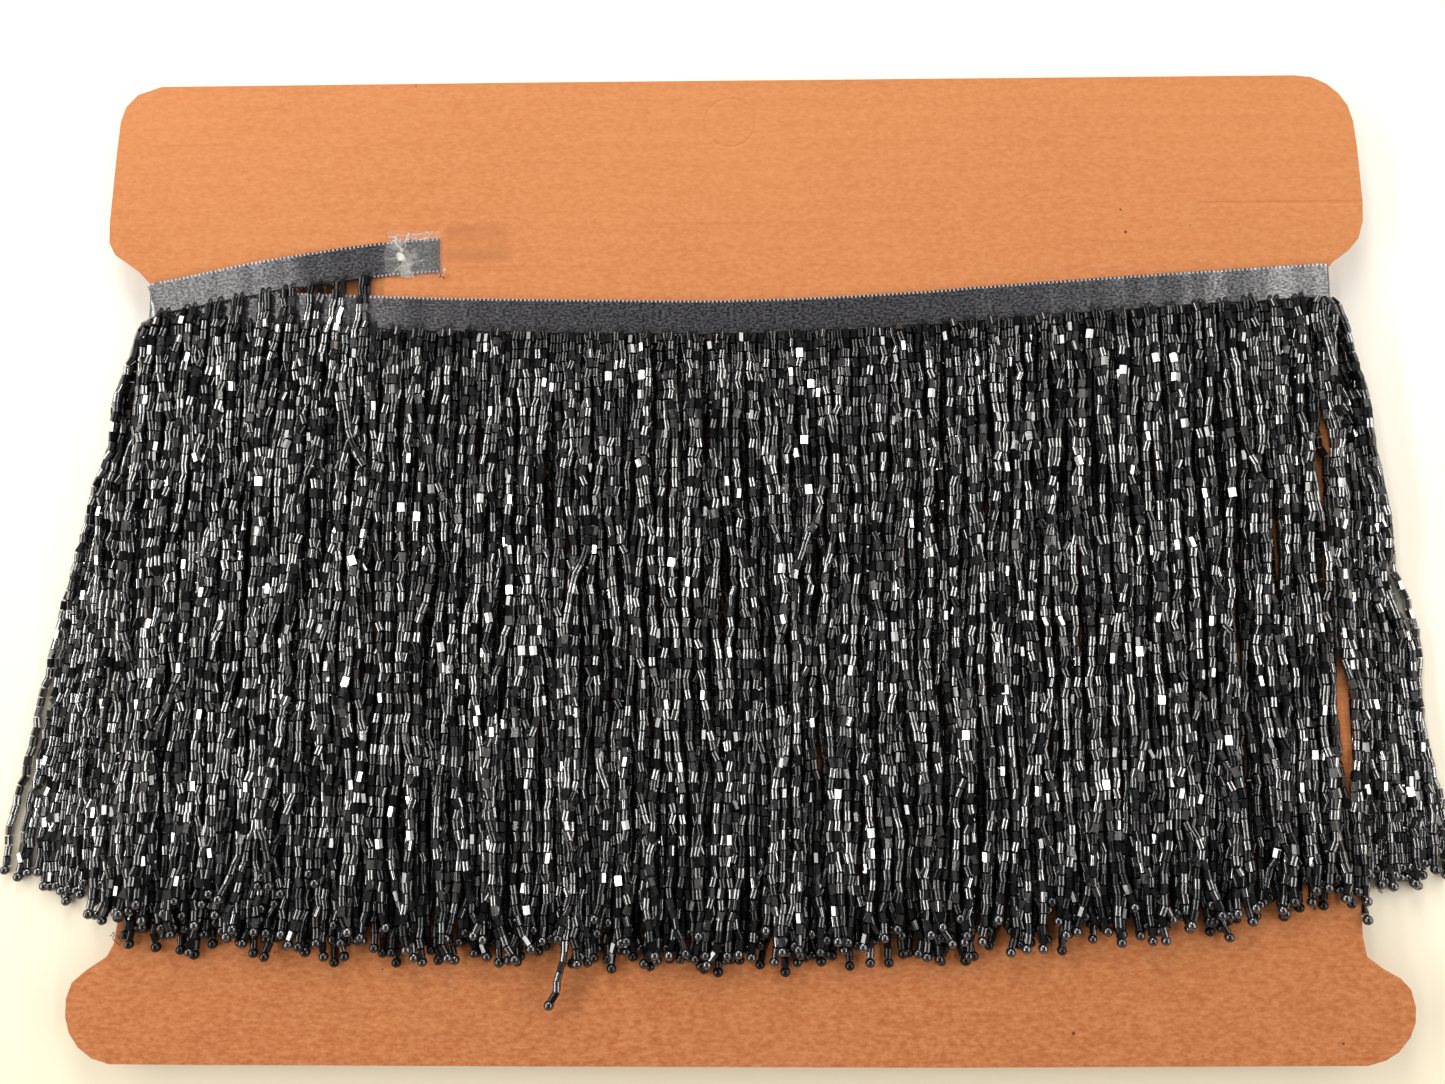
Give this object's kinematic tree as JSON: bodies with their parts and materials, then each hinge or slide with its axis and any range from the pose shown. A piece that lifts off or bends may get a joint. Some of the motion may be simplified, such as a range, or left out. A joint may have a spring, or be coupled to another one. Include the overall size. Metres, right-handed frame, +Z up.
{
  "type": "beaded fringe trim wound on a card",
  "caption": "Satin ribbon with a long fringe of strung black beads, wound round the waist of a flat notched card, its loose end taped to the card's front.",
  "frame": {"origin": "on the surface the card lies on, under the middle of the card", "axes": "+X to the right across the card, +Y towards the card's top edge, +Z up out of the card's front"},
  "size_m": [0.418, 0.284, 0.0142],
  "materials": {
    "card": "matt corrugated board",
    "satin": "satin weave",
    "tape": "clear film",
    "beads": "opaque, polished facets"
  },
  "bodies": {
    "root": {"card": "card", "ribbon_winding": "satin", "ribbon_loose_end": "satin", "tape": "tape", "fringe_front": "beads", "fringe_back": "beads", "fringe_left_fold": "beads", "fringe_right_fold": "beads", "fringe_loose_end": "beads"}
  },
  "joints": []
}
